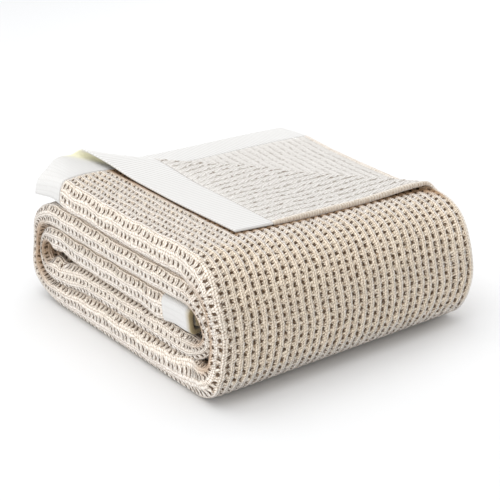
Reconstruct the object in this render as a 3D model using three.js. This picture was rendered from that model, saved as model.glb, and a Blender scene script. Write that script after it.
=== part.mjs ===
// A lofty waffle-weave throw with a ribbed band across each short end. It is folded in four across
// its width, rolled flat in five runs, and one corner of the top layer is turned back.
// Millimetres. X runs from the folded side to the open end, Y from the front to the back, Z is up.
import * as THREE from 'three';

// The flat cloth
const CLOTH_WIDTH = 1300;
const CLOTH_LENGTH = 1700;
const CLOTH_THICKNESS = 5.7;
const BAND_WIDTH = 46;
const BAND_LOFT = 0.58;
const BAND_EASE = 50;
const SEAM_GAP = 0.3;

// The folded bundle: four layers make a stack, and five runs of the stack make the roll.
const BUNDLE_DEPTH = 338;
const BUNDLE_HEIGHT = 150.5;
const LAYER_PITCH = 7.05;
const STACK = 3 * LAYER_PITCH + CLOTH_THICKNESS;
const RUN_COUNT = 5;
const RUN_PITCH = (BUNDLE_HEIGHT - STACK) / (RUN_COUNT - 1);
const INNER_END_Y = 45;

// The runs from the inner end outwards: the level from the bottom, which face lies outwards, the side
// where the run turns, how far the turn stays inside the bundle, the radii of its outer line at its
// start and end, and the share of the stack's thickness that is left where the turn stands upright.
const RUNS = [
  { level: 2, outside: 'top', turn: 'back', inset: 16, startRadius: 29, endRadius: 28, squeeze: 0.36 },
  { level: 1, outside: 'bottom', turn: 'front', inset: 16, startRadius: 42, endRadius: 46, squeeze: 0.6 },
  { level: 3, outside: 'top', turn: 'back', inset: 0, startRadius: 58, endRadius: 51, squeeze: 0.5 },
  { level: 0, outside: 'bottom', turn: 'front', inset: 0, startRadius: 42, endRadius: 58, squeeze: 0.53 },
  { level: 4, outside: 'top' },
];

// The turned corner of the top layer: where its fold line meets the back edge and the open end, the
// radius of the fold, how the flap settles onto the cloth under it, the share of its flat length that
// it covers, and how far it is pulled askew along the fold line for each millimetre past it.
const TURN_BACK_X = 50;
const TURN_FRONT_Y = 52;
const TURN_RADIUS = 5.5;
const FLAP_LIFT = 8.4;
const FLAP_SETTLE = 60;
const FLAP_COVER = 0.96;
const FLAP_SKEW = 0.05;

// Unevenness. Each push opens a hollow inside the roll, around a line along X.
const PUSHES = [
  { y: 288, z: 60, reach: 34, push: 3.2 },
  { y: 62, z: 76, reach: 40, push: 1.6 },
];
const OPEN_END = { drop: 0.13, shift: 9, tuck: 6, tuckHeight: 60 };
const BACK_DROOP = { drop: 6, cornerDrop: 10, cornerReach: 30, from: 262, to: 334 };
const TOP_LAYERS = { underside: 0.8, topside: 0.88 };
const TURN_HUMP = { x: 36, y: 318, reach: 44, lift: 11 };
const TOP_WAVE = { height: 1.2, lengthX: 260, lengthY: 230, phaseX: 1 };
const SIDE_WAVE = { depth: 2.4, height: 88 };
const FLOOR_FADE = 26;
const TINY = 1e-6;

// Steps of the faceted surface
const RUN_STEP = 62;
const BEND_STEPS = 5;
const PANEL_STEPS = 5;
const WIDE_FOLD_STEPS = 6;
const TIGHT_FOLD_STEPS = 4;
const TURN_STEPS = 6;
const SETTLE_STEPS = 3;
const SNAP = 0.5;
const EDGE_CLEARANCE = 2;

// A walk is a chain of straight pieces and arcs in a plane. A piece has the length of cloth laid on it,
// and an arc also has its angle, its radius and its turn, 1 to the left and -1 to the right.
// The place on a walk is found by the length of cloth walked.
function walkPlace(piece, walked) {
  const { a, b, heading, length, radius, angle, turn, squeeze } = piece;
  if (!radius) {
    return { a: a + walked * Math.cos(heading), b: b + walked * Math.sin(heading), heading, squeeze };
  }
  const turned = heading + (turn * angle * walked) / length;
  const side = turn * radius;
  return {
    a: a + side * (Math.sin(turned) - Math.sin(heading)),
    b: b - side * (Math.cos(turned) - Math.cos(heading)),
    heading: turned,
    squeeze,
  };
}

function layWalk(start, rows) {
  let spot = start;
  let walked = 0;
  return rows.map((row) => {
    const piece = { ...spot, ...row, from: walked };
    const { a, b, heading } = walkPlace(piece, row.length);
    spot = { a, b, heading };
    walked += row.length;
    return piece;
  });
}

function walkAt(walk, walked) {
  const piece = walk.findLast((candidate) => candidate.from <= walked) ?? walk[0];
  return walkPlace(piece, walked - piece.from);
}

// Across the cloth, in the plane of X and the stack's thickness: panel, wide left fold, panel,
// right fold, panel, tight left fold, panel.
const WIDE_FOLD = 1.5 * LAYER_PITCH;
const TIGHT_FOLD = 0.5 * LAYER_PITCH;
const PANEL = (CLOTH_WIDTH - Math.PI * (WIDE_FOLD + 2 * TIGHT_FOLD)) / 4;
const FOLD_X = WIDE_FOLD + CLOTH_THICKNESS / 2;
const OPEN_END_X = FOLD_X + PANEL;

const panel = { length: PANEL, steps: PANEL_STEPS };
const fold = (radius, turn, steps) => ({ length: Math.PI * radius, radius, angle: Math.PI, turn, steps });
const ACROSS = layWalk({ a: OPEN_END_X, b: WIDE_FOLD, heading: Math.PI }, [
  panel,
  fold(WIDE_FOLD, 1, WIDE_FOLD_STEPS),
  panel,
  fold(TIGHT_FOLD, 1, TIGHT_FOLD_STEPS),
  panel,
  fold(TIGHT_FOLD, -1, TIGHT_FOLD_STEPS),
  panel,
]);

// Along the cloth, in the plane of Y and Z: the outer line of the four-layer stack, wound outwards.
// A bend takes as much cloth as the middle of its squeezed stack.
const outerLine = ({ level, outside }) => level * RUN_PITCH + (outside === 'top' ? STACK : 0);

function bendQuarter(radius, squeeze) {
  const middle = radius - (STACK / 2) * ((1 + squeeze) / 2);
  return { length: (Math.PI / 2) * middle, radius, angle: Math.PI / 2, turn: -1, squeeze, steps: BEND_STEPS };
}

function layRoll() {
  const rows = [];
  const run = (length) => rows.push({ length, squeeze: 1, steps: Math.ceil(length / RUN_STEP) });
  let y = INNER_END_Y;
  RUNS.forEach((row, index) => {
    if (!row.turn) {
      run(CLOTH_LENGTH - rows.reduce((sum, { length }) => sum + length, 0));
      return;
    }
    const { startRadius, endRadius, squeeze, inset } = row;
    const atBack = row.turn === 'back';
    const extreme = atBack ? BUNDLE_DEPTH - inset : inset;
    const inward = atBack ? -1 : 1;
    const rise = Math.abs(outerLine(RUNS[index + 1]) - outerLine(row));
    run(Math.abs(extreme + inward * startRadius - y));
    rows.push(bendQuarter(startRadius, squeeze));
    rows.push({ length: rise - startRadius - endRadius, squeeze, steps: 1 });
    rows.push(bendQuarter(endRadius, squeeze));
    y = extreme + inward * endRadius;
  });
  return layWalk({ a: INNER_END_Y, b: outerLine(RUNS[0]), heading: 0 }, rows);
}

const ROLL = layRoll();
const TOP_RUN = ROLL.at(-1);
const BACK_EDGE_Y = TOP_RUN.a + TOP_RUN.length;

function smooth(from, to, value) {
  return THREE.MathUtils.smoothstep(value, from, to);
}

// The share of its full loft that the cloth has: the bands are flatter than the waffle.
function loftAt(v) {
  const fromEnd = Math.min(v, CLOTH_LENGTH - v);
  return BAND_LOFT + (1 - BAND_LOFT) * smooth(BAND_WIDTH - BAND_EASE / 2, BAND_WIDTH + BAND_EASE, fromEnd);
}

// The turned corner, measured on the flat top layer: x, and y carried on round the bend by length.
const TURN_LINE = new THREE.Vector2(OPEN_END_X - TURN_BACK_X, TURN_FRONT_Y - BACK_EDGE_Y).normalize();
const TURN_OUT = new THREE.Vector2(-TURN_LINE.y, TURN_LINE.x);
const TURN_ORIGIN = new THREE.Vector2(TURN_BACK_X, BACK_EDGE_Y);
const TURN_ARC = Math.PI * TURN_RADIUS;

const flatPlace = (u, v) => new THREE.Vector2(OPEN_END_X - u, TOP_RUN.a + v - TOP_RUN.from);
const pastTurn = (u, v) => flatPlace(u, v).sub(TURN_ORIGIN).dot(TURN_OUT);

// A point of the folded cloth: u across it, v along it, w above its middle on the face side.
function foldedPoint(u, v, w) {
  const past = u < PANEL ? Math.max(0, pastTurn(u, v)) : 0;
  const foot = v - past * TURN_OUT.y;
  const along = walkAt(ROLL, foot);
  const forward = new THREE.Vector3(0, Math.cos(along.heading), Math.sin(along.heading));
  const outward = new THREE.Vector3(0, -forward.z, forward.y);
  const squeeze = loftAt(foot) * (1 - (1 - along.squeeze) * forward.z ** 2);
  const across = walkAt(ACROSS, u + past * TURN_OUT.x);
  const point = new THREE.Vector3(across.a, along.a, along.b);
  if (past === 0) {
    point.x += w * Math.sin(across.heading);
    const layer = across.b - w * Math.cos(across.heading);
    return point.addScaledVector(outward, squeeze * (layer - STACK / 2));
  }
  const half = w * loftAt(v);
  const angle = Math.min(past, TURN_ARC) / TURN_RADIUS;
  const beyond = Math.max(0, past - TURN_ARC);
  const settled = (2 * TURN_RADIUS - FLAP_LIFT) * smooth(0, FLAP_SETTLE, beyond);
  const lift = TURN_RADIUS - (TURN_RADIUS - half) * Math.cos(angle) - settled;
  point.addScaledVector(outward, squeeze * (across.b - STACK / 2) + lift);
  const away = new THREE.Vector3(TURN_OUT.x, 0, 0).addScaledVector(forward, TURN_OUT.y);
  point.addScaledVector(away, (TURN_RADIUS - half) * Math.sin(angle) - FLAP_COVER * beyond);
  const aside = new THREE.Vector3(TURN_LINE.x, 0, 0).addScaledVector(forward, TURN_LINE.y);
  return point.addScaledVector(aside, -FLAP_SKEW * beyond);
}

// The way the bundle lies: hollows in its bends, a back edge that droops and is lifted beside the turned
// corner, soft waves, and an open end that is lower than the folded side and lies further to the front.
// Nothing moves up or down at the floor, so the underside is flat.
function settle(point) {
  const held = smooth(0, FLOOR_FADE, point.z);
  for (const { y, z, reach, push } of PUSHES) {
    const from = new THREE.Vector2(point.y - y, point.z - z);
    const distance = Math.max(from.length(), TINY);
    from.multiplyScalar((held * push * Math.exp(-((distance / reach) ** 2))) / distance);
    point.y += from.x;
    point.z += from.y;
  }
  const height = point.z / BUNDLE_HEIGHT;
  const atTop = smooth(TOP_LAYERS.underside, TOP_LAYERS.topside, height);
  const fromHump = Math.hypot(point.x - TURN_HUMP.x, point.y - TURN_HUMP.y) / TURN_HUMP.reach;
  point.z += atTop * TURN_HUMP.lift * Math.exp(-(fromHump ** 2));
  const { drop, cornerDrop, cornerReach, from, to } = BACK_DROOP;
  const droop = drop + cornerDrop * (1 - smooth(0, cornerReach, point.x));
  point.z -= atTop * droop * smooth(from, to, point.y);
  const waveX = Math.sin((2 * Math.PI * point.x) / TOP_WAVE.lengthX + TOP_WAVE.phaseX);
  const waveY = Math.sin((2 * Math.PI * point.y) / TOP_WAVE.lengthY);
  point.z += TOP_WAVE.height * held * height * waveX * waveY;
  point.x -= SIDE_WAVE.depth * held * Math.sin((2 * Math.PI * point.z) / SIDE_WAVE.height);
  const towardsOpenEnd = point.x / OPEN_END_X;
  point.x -= OPEN_END.tuck * towardsOpenEnd ** 2 * (1 - smooth(0, OPEN_END.tuckHeight, point.z));
  point.y -= OPEN_END.shift * towardsOpenEnd;
  point.z *= 1 - OPEN_END.drop * towardsOpenEnd;
  return point;
}

// Steps along a walk, between two lengths
function stations(walk, from, to) {
  const inside = walk.flatMap((piece) =>
    Array.from({ length: piece.steps }, (_, step) => piece.from + (piece.length * step) / piece.steps));
  const clear = inside.filter((place) => place > from + EDGE_CLEARANCE && place < to - EDGE_CLEARANCE);
  return [from, ...clear, to];
}

// Cuts a flat polygon of [u, v] corners along the line at a distance past the turn
function cutAlongTurn(polygon, distance) {
  const sides = polygon.map(([u, v]) => {
    const side = pastTurn(u, v) - distance;
    return Math.abs(side) < SNAP ? 0 : side;
  });
  const before = [];
  const after = [];
  polygon.forEach((corner, index) => {
    const nextIndex = (index + 1) % polygon.length;
    const next = polygon[nextIndex];
    if (sides[index] <= 0) before.push(corner);
    if (sides[index] >= 0) after.push(corner);
    if (sides[index] * sides[nextIndex] < 0) {
      const share = sides[index] / (sides[index] - sides[nextIndex]);
      const cut = [corner[0] + share * (next[0] - corner[0]), corner[1] + share * (next[1] - corner[1])];
      before.push(cut);
      after.push(cut);
    }
  });
  return [before, after].filter((piece) => piece.length > 2);
}

const TURN_CUTS = [
  ...Array.from({ length: TURN_STEPS + 1 }, (_, step) => (TURN_ARC * step) / TURN_STEPS),
  ...Array.from({ length: SETTLE_STEPS }, (_, step) => TURN_ARC + (FLAP_SETTLE * (step + 1)) / SETTLE_STEPS),
];

// The cutting plan of a length of cloth, as flat polygons
function planCells(from, to) {
  const columns = stations(ACROSS, 0, CLOTH_WIDTH);
  const rows = stations(ROLL, from, to);
  const cells = [];
  for (let i = 0; i + 1 < columns.length; i += 1) {
    for (let j = 0; j + 1 < rows.length; j += 1) {
      const [u0, u1, v0, v1] = [columns[i], columns[i + 1], rows[j], rows[j + 1]];
      let pieces = [[[u0, v0], [u1, v0], [u1, v1], [u0, v1]]];
      if (u1 < PANEL + SNAP) {
        for (const distance of TURN_CUTS) pieces = pieces.flatMap((piece) => cutAlongTurn(piece, distance));
      }
      cells.push(...pieces);
    }
  }
  return cells;
}

// A loop of corners that starts at the same place in every layer, so that the facets of two layers
// that lie on each other are parallel
function startAtLowX(cell) {
  const places = cell.map(([u, v]) => walkAt(ACROSS, u).a + v);
  const first = places.indexOf(Math.min(...places));
  return [...cell.slice(first), ...cell.slice(0, first)];
}

// A closed sheet: the plan on the face side, the plan on the back side, and walls round its border.
// The walls are split the same way on both sides of a seam.
function sheetGeometry(from, to) {
  const corners = new Map();
  const places = [];
  const faceSide = [];
  const backSide = [];
  const cornerIndex = ([u, v]) => {
    const key = `${u.toFixed(4)},${v.toFixed(4)}`;
    if (!corners.has(key)) {
      corners.set(key, corners.size);
      places.push(u + v);
      faceSide.push(settle(foldedPoint(u, v, CLOTH_THICKNESS / 2)));
      backSide.push(settle(foldedPoint(u, v, -CLOTH_THICKNESS / 2)));
    }
    return corners.get(key);
  };
  const loops = planCells(from, to).map((cell) => startAtLowX(cell).map(cornerIndex));
  const count = corners.size;
  const triangles = [];
  const borders = new Map();
  for (const loop of loops) {
    for (let k = 1; k + 1 < loop.length; k += 1) {
      triangles.push(loop[0], loop[k + 1], loop[k]);
      triangles.push(loop[0] + count, loop[k] + count, loop[k + 1] + count);
    }
    loop.forEach((corner, k) => {
      const next = loop[(k + 1) % loop.length];
      if (!borders.delete(`${next},${corner}`)) borders.set(`${corner},${next}`, [corner, next]);
    });
  }
  for (const [corner, next] of borders.values()) {
    const rising = places[corner] < places[next];
    const [near, far] = rising ? [corner, next + count] : [next, corner + count];
    triangles.push(corner, next, far);
    triangles.push(near, next + count, corner + count);
  }
  const geometry = new THREE.BufferGeometry().setFromPoints([...faceSide, ...backSide]);
  geometry.setIndex(triangles);
  geometry.computeVertexNormals();
  return geometry;
}

const waffleCloth = new THREE.MeshStandardMaterial({ color: 0xd9cdbd, roughness: 0.95, metalness: 0 });
const ribbedBand = new THREE.MeshStandardMaterial({ color: 0xf1eeea, roughness: 0.9, metalness: 0 });

function sheetMesh(name, from, to, material) {
  const mesh = new THREE.Mesh(sheetGeometry(from, to), material);
  mesh.name = name;
  return mesh;
}

const INNER_SEAM = BAND_WIDTH;
const OUTER_SEAM = CLOTH_LENGTH - BAND_WIDTH;
const throwBlanket = new THREE.Group();
throwBlanket.add(sheetMesh('end_band_inner', 0, INNER_SEAM - SEAM_GAP / 2, ribbedBand));
throwBlanket.add(sheetMesh('throw_cloth', INNER_SEAM + SEAM_GAP / 2, OUTER_SEAM - SEAM_GAP / 2, waffleCloth));
throwBlanket.add(sheetMesh('end_band_outer', OUTER_SEAM + SEAM_GAP / 2, CLOTH_LENGTH, ribbedBand));

// The origin is under the middle of the bundle, on the surface that it lies on.
const box = new THREE.Box3().setFromObject(throwBlanket);
const middle = box.getCenter(new THREE.Vector3());
throwBlanket.position.set(-middle.x, -middle.y, -box.min.z);

export default throwBlanket;
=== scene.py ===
"""Folded waffle throw with white ribbed end bands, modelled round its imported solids.

The cloth is laid out flat as a lattice of waffle cells and then carried into its folds: four layers
across, five runs of a flat roll, and one corner of the top layer turned back. Metres throughout.
"""
import math
from typing import NamedTuple

import bpy
import numpy as np
from bpy.props import FloatProperty, FloatVectorProperty, IntProperty, PointerProperty
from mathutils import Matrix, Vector


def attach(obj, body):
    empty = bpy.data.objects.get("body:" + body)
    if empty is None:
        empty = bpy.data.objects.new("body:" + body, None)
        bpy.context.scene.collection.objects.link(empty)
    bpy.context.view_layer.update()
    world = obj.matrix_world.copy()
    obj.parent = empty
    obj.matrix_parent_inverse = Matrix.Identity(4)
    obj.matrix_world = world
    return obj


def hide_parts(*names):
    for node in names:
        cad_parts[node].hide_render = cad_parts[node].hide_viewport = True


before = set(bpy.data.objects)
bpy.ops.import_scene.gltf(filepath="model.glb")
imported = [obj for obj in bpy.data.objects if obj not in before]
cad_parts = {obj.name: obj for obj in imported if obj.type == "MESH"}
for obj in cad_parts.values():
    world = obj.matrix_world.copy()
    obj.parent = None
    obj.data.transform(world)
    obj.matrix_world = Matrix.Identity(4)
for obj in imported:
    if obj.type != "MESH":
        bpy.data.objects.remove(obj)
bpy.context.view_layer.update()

bl_info = {
    "name": "Folded Waffle Throw",
    "version": (1, 0, 0),
    "blender": (4, 5, 0),
    "location": "3D View > Sidebar > Throw",
    "description": "Builds a folded waffle throw with ribbed end bands, and a studio to show it in",
    "category": "Object",
}

BODY = "root"
CLOTH_MAP = "cloth"
TINY = 1e-9


class ThrowSizes(bpy.types.PropertyGroup):
    """Sizes of the flat cloth and of its weave"""

    width: FloatProperty(name="Width", description="Width of the flat cloth", default=1.30, unit="LENGTH")
    length: FloatProperty(name="Length", description="Length of the flat cloth", default=1.70, unit="LENGTH")
    thickness: FloatProperty(
        name="Thickness", description="Loft of the waffle", default=0.0057, unit="LENGTH", precision=4
    )
    band_width: FloatProperty(
        name="Band", description="Width of the band across each short end", default=0.046, unit="LENGTH"
    )
    hem_width: FloatProperty(
        name="Hem", description="Width of the rolled hem along each long side", default=0.0052, unit="LENGTH"
    )
    waffle_columns: IntProperty(name="Columns", description="Waffle cells across the cloth", default=137)
    waffle_rows: IntProperty(name="Rows", description="Waffle cells along the cloth", default=236)
    pit_depth: FloatProperty(
        name="Pit Depth", description="Depth of a waffle pit", default=0.0036, unit="LENGTH", precision=4
    )
    groove_depth: FloatProperty(
        name="Groove Depth",
        description="Depth of the grooves between the ribs of the reverse",
        default=0.0011,
        unit="LENGTH",
        precision=4,
    )
    band_ribs: IntProperty(name="Band Ribs", description="Ribs along an end band", default=320)
    band_groove: FloatProperty(
        name="Band Groove",
        description="Depth of a band's grooves",
        default=0.0009,
        unit="LENGTH",
        precision=4,
    )


class ThrowColours(bpy.types.PropertyGroup):
    """Colours of the yarns"""

    cloth: FloatVectorProperty(
        name="Cloth", description="The waffle's beige yarn", subtype="COLOR", default=(1.0, 0.875, 0.715)
    )
    # Painted sheen and painted light: the yarn is painted this paler colour where it is seen at a slant, and
    # on the wide fold
    slanted: FloatVectorProperty(
        name="Slanted",
        description="The pale look of the yarn at a slant",
        subtype="COLOR",
        default=(0.97, 0.925, 0.87),
    )
    crease: FloatVectorProperty(
        name="Crease", description="Warm shade between the runs", subtype="COLOR", default=(0.50, 0.31, 0.17)
    )
    # Painted shade: the pits are painted this dark brown for the shade deep in them
    pit: FloatVectorProperty(
        name="Pit",
        description="The floor of the waffle's pits",
        subtype="COLOR",
        default=(0.085, 0.042, 0.014),
    )
    crevice: FloatVectorProperty(
        name="Crevice", description="Lines between the strands", subtype="COLOR", default=(0.36, 0.24, 0.14)
    )
    groove: FloatVectorProperty(
        name="Groove",
        description="Lines between the ribs of the reverse",
        subtype="COLOR",
        default=(0.22, 0.175, 0.13),
    )
    reverse: FloatVectorProperty(
        name="Reverse", description="The reverse of the cloth", subtype="COLOR", default=(0.745, 0.72, 0.69)
    )
    band_face: FloatVectorProperty(
        name="Band Face",
        description="The smooth side of the bands",
        subtype="COLOR",
        default=(0.62, 0.615, 0.605),
    )
    band: FloatVectorProperty(
        name="Band", description="The white yarn of the bands", subtype="COLOR", default=(0.70, 0.695, 0.685)
    )
    band_line: FloatVectorProperty(
        name="Band Lines",
        description="Lines between a band's ribs",
        subtype="COLOR",
        default=(0.46, 0.45, 0.43),
    )
    # Painted shade: the inner band's end is painted olive brown for the shade deep in the roll
    band_end_shade: FloatVectorProperty(
        name="Band End",
        description="The inner band's end, deep in the roll",
        subtype="COLOR",
        default=(0.30, 0.23, 0.10),
    )
    hem: FloatVectorProperty(
        name="Hem", description="The yarn of the rolled hem", subtype="COLOR", default=(0.80, 0.745, 0.665)
    )
    # Painted glow: a warm tone and emission inside a band's folds stand in for light shining through the band
    glow: FloatVectorProperty(
        name="Glow",
        description="The warm tone inside a band's folds",
        subtype="COLOR",
        default=(0.66, 0.64, 0.46),
    )


class StudioLook(bpy.types.PropertyGroup):
    """The floor and the light"""

    floor: FloatVectorProperty(
        name="Floor", description="The pale floor", subtype="COLOR", default=(0.732, 0.738, 0.746)
    )
    ambient: FloatProperty(name="Ambient", description="Strength of the light all round", default=0.84)
    key: FloatProperty(name="Key", description="Power of the light overhead", default=32.0, unit="POWER")
    side: FloatProperty(name="Side", description="Power of the light on the left", default=15.0, unit="POWER")
    fill: FloatProperty(name="Fill", description="Power of the light on the right", default=9.0, unit="POWER")


def smooth(low, high, value):
    """Rises from 0 at low to 1 at high with no corner."""
    share = np.clip((value - low) / (high - low), 0.0, 1.0)
    return share * share * (3.0 - 2.0 * share)


def near(value, middle, reach):
    """Falls from 1 at the middle to almost nothing at twice the reach."""
    return np.exp(-(((value - middle) / reach) ** 2))


def blend(first, second, share):
    """Goes from the first value to the second one as the share goes from 0 to 1."""
    return first + (second - first) * share


def rounded(distance, radius):
    """The share of the full thickness that a round edge has at a distance from it."""
    inside = 1.0 - np.clip(distance / radius, 0.0, 1.0)
    return np.sqrt(1.0 - inside * inside)


def marks(lengths):
    """Where each of a row of lengths starts, and where the last one ends."""
    return np.cumsum([0.0, *lengths])


# The folded bundle, with the values of its solids
LAYERS = 4
LAYER_PITCH = 0.00705
BUNDLE_DEPTH = 0.338
BUNDLE_HEIGHT = 0.1505
INNER_END_Y = 0.045
BAND_LOFT = 0.58
BAND_EASE = 0.050
SEAM_GAP = 0.0003
TURN_BACK_X = 0.050
TURN_FRONT_Y = 0.052
TURN_RADIUS = 0.0055
FLAP_SETTLE = 0.060
FLAP_COVER = 0.96
FLAP_SKEW = 0.05
BACK_DROP = 0.006
CORNER_DROP = 0.010
CORNER_DROP_REACH = 0.030
BACK_DROP_Y = (0.262, 0.334)
TOP_LAYERS = (0.8, 0.88)
OPEN_END_DROP = 0.13
OPEN_END_SHIFT = 0.009
OPEN_END_TUCK = 0.006
OPEN_END_TUCK_HEIGHT = 0.060
TOP_WAVE_HEIGHT = 0.0012
TOP_WAVE_X = 0.260
TOP_WAVE_Y = 0.230
TOP_WAVE_PHASE = 1.0
SIDE_WAVE_DEPTH = 0.0024
SIDE_WAVE_HEIGHT = 0.088
FLOOR_FADE = 0.026

# The middle of the solids' box, from the folded side and from the front
MIDDLE_X = 0.165486
MIDDLE_Y = 0.164418


class Run(NamedTuple):
    """A run of the roll: its level from the bottom, the face that lies outwards, and its turn."""

    level: int
    outside: str
    turn: str = ""
    inset: float = 0.0
    start_radius: float = 0.0
    end_radius: float = 0.0
    squeeze: float = 1.0


RUNS = (
    Run(2, "top", "back", 0.016, 0.029, 0.028, 0.36),
    Run(1, "bottom", "front", 0.016, 0.042, 0.046, 0.6),
    Run(3, "top", "back", 0.0, 0.058, 0.051, 0.5),
    Run(0, "bottom", "front", 0.0, 0.042, 0.058, 0.53),
    Run(4, "top"),
)

# The legs of a run and its turn, up to its second bend
STRAIGHT, FIRST_BEND, UPRIGHT = range(3)


class Spot(NamedTuple):
    """A place in the bundle, its reach along each axis of the place, and how far it moves the cloth."""

    place: tuple
    reach: tuple
    move: float

    def at(self, *where):
        """How far the cloth is moved at other places."""
        return self.move * math.prod(near(*each) for each in zip(where, self.place, self.reach))


# Forms that are fitted closer to the photograph than in the solids
INNER_TUCK = 0.004
FLAP_GAP = 0.0004

# Hollows in the roll by Y and Z, of which the second is as in the solids
HOLLOWS = (Spot((0.282, 0.059), (0.036, 0.036), 0.0052), Spot((0.062, 0.076), (0.040, 0.040), 0.0016))

# How far the folded side is heaved up by Z, and how far from it and from the front that reaches
HEAVES = (Spot((0.034,), (0.020,), 0.0055), Spot((0.093,), (0.016,), 0.0030))
HEAVE_X = 0.045
HEAVE_Y = (0.20, 0.29)

# The hump at the turned corner and its pull to the folded side, by X and Y
TURN_HUMP = Spot((0.044, 0.322), (0.042, 0.042), 0.0135)
TURN_PULL = Spot((0.056, 0.332), (0.032, 0.060), 0.015)

# The wide fold is squarer than round and swells until the runs touch, and more so in the bands
FOLD_POWER = 3.3
FOLD_REACH = 0.018
FOLD_SWELL = 0.17
INNER_SWELL = 0.10
OUTER_BAND_SWELL = 0.5
INNER_BAND_SWELL = 0.6
FRONT_SWELL = 0.45
SWELL_REACH = 0.040
CORNER_SWELL = 0.38
CORNER_REACH = 0.032
HOLLOW_SWELL = 0.30
HOLLOW_REACH = 0.050
HOLLOW_START = (-0.020, 0.030)


class Leg(NamedTuple):
    """A straight, or with a radius an arc, of a walk. Its length is that of the cloth laid on it.

    A straight covers a share of that length, less than 1 where the cloth is pushed together.
    """

    length: float
    radius: float = 0.0
    angle: float = 0.0
    squeeze: float = 1.0
    cover: float = 1.0


class Walk:
    """A chain of straights and arcs in a plane, with places found by the length of cloth walked.

    An arc's angle is positive where it turns to the left.
    """

    def __init__(self, a, b, heading, legs):
        rows = []
        self.legs = legs
        self.starts = marks(leg.length for leg in legs)[:-1]
        for leg in legs:
            rows.append((a, b, heading, *leg))
            a, b, heading, _ = self.step(rows[-1], leg.length)
        self.table = np.array(rows)

    @staticmethod
    def step(leg, walked):
        """Place, heading and squeeze at a length walked along a leg."""
        a, b, heading, length, radius, angle, squeeze, cover = leg
        turned = heading + angle * walked / length
        side = np.sign(angle) * radius
        straight = np.where(radius > 0.0, 0.0, walked * cover)
        place_a = a + straight * np.cos(heading) + side * (np.sin(turned) - np.sin(heading))
        place_b = b + straight * np.sin(heading) - side * (np.cos(turned) - np.cos(heading))
        return place_a, place_b, turned, squeeze

    def at(self, walked):
        """Place, heading and squeeze at each length walked."""
        found = np.clip(np.searchsorted(self.starts, walked, side="right") - 1, 0, len(self.starts) - 1)
        return self.step(np.moveaxis(self.table[found], -1, 0), walked - self.starts[found])


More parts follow.
